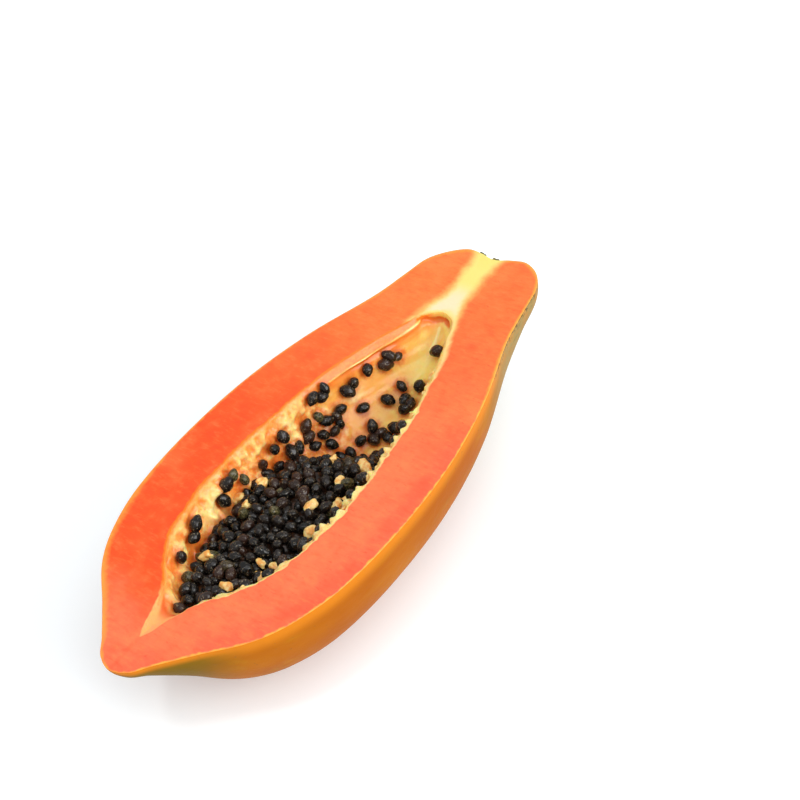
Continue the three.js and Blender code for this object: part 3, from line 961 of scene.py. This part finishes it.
def flesh_material():
    look = Look("cut_flesh")
    x = look.axis("X")
    patches = look.noise(7.5, detail=4, roughness=0.6)
    mottle = look.noise(2.6, detail=3)
    core = look.add(look.attribute("from_core"), (patches, 0.2, 0.8, -1.1, 1.1))
    color = look.layers(
        mottled_flesh(look, flesh_ground(look), patches, mottle),
        (FLESH_BORDER, flesh_border(look, mottle)),
        (CORE_PALE, (core, 4.2, -2.4)),
        (CORE_CREAM, (core, 1.2, -3), (x, 106, 93), 0.9),
        (CORE_GREEN, (core, -1, -4), (x, 112, 122), 0.55),
        (lip_color(look), lip_share(look, mottle)))
    fibres = look.noise(1.1, detail=4, roughness=0.6, stretch=(1, 2.6, 1))
    normal = look.bump(look.noise(0.5, detail=2), 0.035, look.bump(fibres, 0.09))
    normal = look.bump(patches, 0.3, normal)
    return look.finish(
        Base_Color=color, Roughness=0.45, Normal=normal, IOR=1.35,
        Subsurface_Weight=0.2, Subsurface_Radius=(1.0, 0.35, 0.15), Subsurface_Scale=2 * MM,
        Coat_Weight=0.12, Coat_Roughness=0.2)


def seedy_lining(look, clouds, mottle):
    """The folded wall where the seeds grew: pale on its crests, partly its own tone and partly painted
    light, with painted shade in its dips and deeper down towards its floor.
    """
    from_hollow = look.attribute("from_hollow")
    crest = look.add(look.attribute("relief"), (mottle, 0.1, 0.9, -1.2, 1.2))
    far = (look.axis("Y"), 0, 4)
    return look.layers(
        LINING_ORANGE,
        # pale crests: partly the tissue's own tone, partly painted light
        (LINING_PALE, (crest, -0.8, 0.6)),
        # painted highlight on the highest crests
        (LINING_CREST_LIGHT, (crest, 0.8, 1.8, 0, 0.7)),
        # painted shade in the dips
        (LINING_DEEP_SHADE, (crest, -0.7, -1.8, 0, 0.7)),
        (LINING_ORANGE, (clouds, 0.5, 0.75, 0, 0.4)),
        # painted shade, deeper down the wall towards its floor
        (LINING_DEEP_SHADE, (from_hollow, -12, -26, 0, 0.4)),
        (LINING_ORANGE, (from_hollow, -7, -2), far, 0.6))


def sheet_lining(look, clouds):
    """The smooth sheet by the stem, with a painted highlight on the pale ridge, the orange band and painted
    shade under its far edge and in its dips.
    """
    x, y = look.axis("X"), look.axis("Y")
    relief = look.attribute("relief")
    drift = (clouds, 0.2, 0.8, -5, 5)
    grain = look.step(look.noise(1.3, detail=3, roughness=0.6), 0.35, 0.65)
    over_lip = look.math("SUBTRACT", look.attribute("from_hollow"), (x, 58, 78, -LIP_RUN, 2 - LIP_RUN))
    far = look.step(y, 0, 3)
    return look.layers(
        LINING_SHEET,
        (LINING_YELLOW, (look.add(y, drift), 12, -3)),
        (LINING_ORANGE, (clouds, 0.45, 0.75, 0, 0.4)),
        (LINING_ORANGE, (look.noise(3.4, detail=3), 0.5, 0.8, 0, 0.3)),
        # painted highlight along the thin ridge
        (LINING_CREST_LIGHT, (relief, 0.2, 0.5), (y, -1, 1.5)),
        (look.mix(grain, LIP_FAR, LIP_SPECK), (over_lip, 0.3, 0.9), far, 0.9),
        (LINING_SHADE, (over_lip, -6.5, -1, 0, 0.8), (over_lip, 0.1, -0.5), far),
        (LINING_SHADE, (relief, -0.2, -0.8)))


def lining_material():
    look = Look("hollow_lining")
    x = look.axis("X")
    from_hollow = look.attribute("from_hollow")
    clouds = look.noise(9, detail=3)
    mottle = look.noise(2.2, detail=4, roughness=0.6)
    from_seed = look.add(look.attribute("from_seed"), (mottle, 0.2, 0.8, -1, 1))
    in_groove = look.product((from_hollow, -1.8, -3.6), (x, -102, -96))
    from_edge = look.add(from_hollow, (mottle, 0.2, 0.8, -0.6, 0.6))
    in_dip = (look.attribute("relief"), -0.25, -0.9)
    color = look.layers(
        seedy_lining(look, clouds, mottle),
        (sheet_lining(look, clouds), (x, *STEM_SIDE)),
        # round each seed: partly a stain, partly painted shade that the seed casts on the wall
        (SEED_STAIN_AND_SHADE, (from_seed, 5.8, 2.8, 0, 0.8)),
        (look.mix(in_groove, GROOVE, GROOVE_SHADE), (x, *INTO_GROOVE), (from_seed, 3.5, 7, 0.35, 1)),
        (lip_color(look), (from_edge, -1.6, -0.3, 0, 0.8)),
        (CORE_PALE, (x, 80, 84, 0, 0.7)),
        (LINING_SHADE, in_dip, (x, 70, 76)))
    return look.finish(
        Base_Color=color, Roughness=0.4, IOR=1.36, Normal=look.bump(look.noise(1.3, detail=4), 0.22),
        Subsurface_Weight=0.8, Subsurface_Radius=(1.0, 0.4, 0.15), Subsurface_Scale=4 * MM,
        Coat_Weight=0.3, Coat_Roughness=0.15)


def skin_material():
    look = Look("papaya_skin")
    x, y = look.axis("X"), look.axis("Y")
    from_skin = look.attribute("from_skin")
    clouds = look.noise(34, detail=3, stretch=(2.2, 1, 1))
    streaks = look.noise(9, detail=4, stretch=(7, 1, 1))
    grain = look.noise(2.2, detail=4, roughness=0.65, stretch=(5, 1, 1))
    scuff = look.noise(3.2, detail=5, roughness=0.7, stretch=(2.4, 1, 1))
    scar = look.add(x, (look.noise(2.6, detail=3), 0.2, 0.8, -1.5, 1.5))
    drop = look.math("SUBTRACT", CUT_HEIGHT, look.axis("Z"))
    from_axis = look.math("SQRT", look.add(look.product(y, y), look.product(drop, drop)))
    color = look.layers(
        SKIN_GOLD,
        (SKIN_TAN, (clouds, 0.35, 0.65)),
        (SKIN_YELLOW, (streaks, 0.5, 0.72, 0, 0.5)),
        # painted shade: the skin darker towards the belly's underside
        (SKIN_UNDER_SHADE, (from_skin, -20, -44, 0, 0.6)),
        (SKIN_RIM, (from_skin, -8, -1, 0, 0.85)),
        (SKIN_OLIVE, (streaks, 0.5, 0.7), (clouds, 0.5, 0.68), 0.35),
        (SKIN_SHOULDER, (x, 36, 60), (from_skin, -2, -9), 0.75),
        (SKIN_OLIVE, (x, -92, -109), (from_skin, -0.6, -4),
         (clouds, 0.3, 0.5, 0.7, 1), 0.85),
        (SKIN_GREY, (x, 50, 84), (grain, 0.3, 0.6, 0.45, 1)),
        (SKIN_LICHEN, (x, 62, 88), (grain, 0.55, 0.7), 0.55),
        (SKIN_SPOTS, (x, 52, 70), (from_skin, -3.5, -0.8),
         (look.noise(1.6, detail=2), 0.52, 0.6), 0.8),
        (SKIN_SPECK, (look.noise(1.5, detail=2), 0.68, 0.76, 0, 0.5)),
        (SKIN_SPECK, (scar, 118, 122), (from_axis, 15, 9), 0.85),
        (TIP_SCAR, (scar, -123, -125), (from_skin, -3, -6), 0.8),
        (SKIN_SPECK, (scuff, 0.62, 0.7), (clouds, 0.45, 0.7), 0.45))
    normal = look.bump(look.noise(0.9, detail=2), 0.05)
    normal = look.bump(look.noise(6, detail=2), 0.3, normal)
    normal = look.bump(scuff, 0.12, normal)
    return look.finish(
        Base_Color=color, Roughness=0.5, Normal=normal, IOR=1.42, Specular_IOR_Level=0.05,
        Subsurface_Weight=0.06, Subsurface_Radius=(1.0, 0.5, 0.2), Subsurface_Scale=1.5 * MM,
        Coat_Weight=0.01, Coat_Roughness=0.3)


def seed_material():
    look = Look("wet_seed")
    tone = look.attribute("tone")
    net = look.noise(0.7, detail=2, distortion=0.8)
    olive = look.mix((net, 0.36, 0.62), SEED_OLIVE_DARK, SEED_OLIVE)
    color = look.layers(
        SEED_BLACK,
        (SEED_DARK, (look.attribute("shade"), 0, 1)),
        (SEED_BROWN, (tone, 0.7, 0.9)),
        (olive, (tone, 0.93, 0.95)),
        # a pale net: partly the seed coat's film, partly painted glints
        (SEED_FILM_AND_GLINTS, (net, 0.6, 0.7, 0, 0.75)))
    normal = look.bump(look.noise(1.2, detail=3, distortion=1.0), 0.35)
    normal = look.bump(net, 0.2, normal)
    return look.finish(
        Base_Color=color, Roughness=0.45, Normal=normal, IOR=1.4, Specular_IOR_Level=0.1,
        Coat_Weight=1.0, Coat_Roughness=0.09, Coat_IOR=1.35)


def pulp_and_shade_material():
    look = Look("seed_pulp_and_shade")
    mottle = look.noise(2.4, detail=3)
    color = look.layers(
        # dark partly as the pulp's own colour, partly as painted shade in the gaps between the seeds
        PULP_DARK_SHADE,
        (PULP_BROWN, (mottle, 0.3, 0.6)),
        (PULP_AMBER, (mottle, 0.6, 0.75, 0, 0.6)))
    return look.finish(
        Base_Color=color, Roughness=0.4, IOR=1.4, Specular_IOR_Level=0.2,
        Normal=look.bump(look.noise(0.9, detail=3), 0.4),
        Coat_Weight=0.8, Coat_Roughness=0.1, Coat_IOR=1.33)


def tissue_material():
    look = Look("seed_tissue")
    mottle = look.noise(2.4, detail=3)
    color = look.mix((mottle, 0.36, 0.6), TISSUE_ORANGE, TISSUE_CREAM)
    return look.finish(
        Base_Color=color, Roughness=0.35, IOR=1.38, Normal=look.bump(mottle, 0.3),
        Subsurface_Weight=0.4, Subsurface_Radius=(1.0, 0.6, 0.3), Subsurface_Scale=2 * MM,
        Coat_Weight=0.4, Coat_Roughness=0.15)


def collar_material():
    look = Look("dry_stalk_collar")
    color = look.mix((look.noise(1.5), 0.4, 0.6), COLLAR_GREEN, COLLAR_STRAW)
    return look.finish(Base_Color=color, Roughness=0.8)


def floor_material():
    look = Look("floor")
    return look.finish(Base_Color=FLOOR_COLOR, Roughness=0.9, Specular_IOR_Level=0.2,
                          Emission_Color=WHITE, Emission_Strength=0.12)


# ---- Floor, light and camera ----

CAMERA_PLACE = (-289.05, -339.11, 436.91)  # in millimetres from the cut face's middle
CAMERA_ANGLES = (-44.703, 43.716, -13.068)  # azimuth, elevation and roll, in degrees
CAMERA_LENS = 70
CAMERA_SENSOR = 36
CAMERA_CLIP = 0.01
SKY_STRENGTH = 0.75
FLOOR_REACH = 3
LAMP_AIM = (0, 0, 0.04)
# Lamps: name, direction along the camera's right, up and back, distance, side and power.
LAMPS = [
    ("key", (0.2, 0.5, 0.85), 2.2, 1.4, 11),
    ("spark", (-0.3, 0.45, 0.85), 2.0, 0.2, 4),
    ("fill", (0.75, 0.16, 0.75), 1.6, 0.9, 16),
]


def camera_axes():
    """Right, up and back of the camera."""
    azimuth, elevation, roll = (math.radians(angle) for angle in CAMERA_ANGLES)
    back = Vector((math.sin(azimuth) * math.cos(elevation), -math.cos(azimuth) * math.cos(elevation),
                   math.sin(elevation)))
    level = Vector((math.cos(azimuth), math.sin(azimuth), 0))
    rise = back.cross(level)
    right = math.cos(roll) * level + math.sin(roll) * rise
    up = -math.sin(roll) * level + math.cos(roll) * rise
    return right, up, back


def make_camera():
    data = bpy.data.cameras.new("camera")
    data.lens = CAMERA_LENS
    data.sensor_width = CAMERA_SENSOR
    data.clip_start = CAMERA_CLIP
    camera = scene_object("camera", data)
    turn = Matrix(camera_axes()).transposed().to_4x4()
    camera.matrix_world = Matrix.Translation(Vector(on_floor(CAMERA_PLACE))) @ turn
    bpy.context.scene.camera = camera


def make_light(name, direction, distance, side, power):
    """A square lamp that looks at the fruit from a direction along the camera's right, up and back."""
    right, up, back = camera_axes()
    aim = Vector(LAMP_AIM)
    place = aim + (direction[0] * right + direction[1] * up + direction[2] * back).normalized() * distance
    data = bpy.data.lights.new(name, "AREA")
    data.size = side
    data.energy = power
    lamp = scene_object(name, data)
    lamp.location = place
    lamp.rotation_euler = (place - aim).to_track_quat("Z", "Y").to_euler()


def make_sky():
    """Plain white light from all round, and colours shown as they are."""
    bpy.context.scene.view_settings.view_transform = "Standard"
    world = bpy.data.worlds.new("studio")
    world.use_nodes = True
    background = world.node_tree.nodes["Background"]
    background.inputs["Color"].default_value = WHITE
    background.inputs["Strength"].default_value = SKY_STRENGTH
    bpy.context.scene.world = world


def make_floor():
    corners = [(x * FLOOR_REACH, y * FLOOR_REACH, 0) for x, y in ((-1, -1), (1, -1), (1, 1), (-1, 1))]
    mesh = bpy.data.meshes.new("floor")
    mesh.from_pydata(corners, [], [(0, 1, 2, 3)])
    mesh.materials.append(floor_material())
    floor = scene_object("floor", mesh)


# ---- Assembly ----

make_camera()
make_sky()
make_floor()
for lamp in LAMPS:
    make_light(*lamp)
heap = heap_places(random_stream(HEAP_DRAW), HEAP_SEEDS, HEAP_SPACING)
below = heap_places(random_stream(UNDER_DRAW), UNDER_SEEDS, UNDER_SPACING, UNDER_SINK)
strays = stray_places(STRAY_SEEDS, heap)
make_fruit([skin_material(), flesh_material(), lining_material()], heap + strays)
wet_seed = seed_material()
heap_seeds = make_seeds("heap_seeds", heap, wet_seed, draws=7, subdivisions=4, unevenness=0.7)
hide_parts("seed_heap")
make_seeds("heap_seeds_below", below, wet_seed, draws=8, subdivisions=2, unevenness=0.8)
make_seeds("wall_seeds", strays, wet_seed, draws=9, subdivisions=4)
make_seeds("rim_seeds", stray_places(RIM_SEEDS, []), wet_seed, draws=10, subdivisions=4, unevenness=0.4)
make_pulp_and_shade(pulp_and_shade_material())
make_tissue(tissue_material())
make_collar(collar_material())
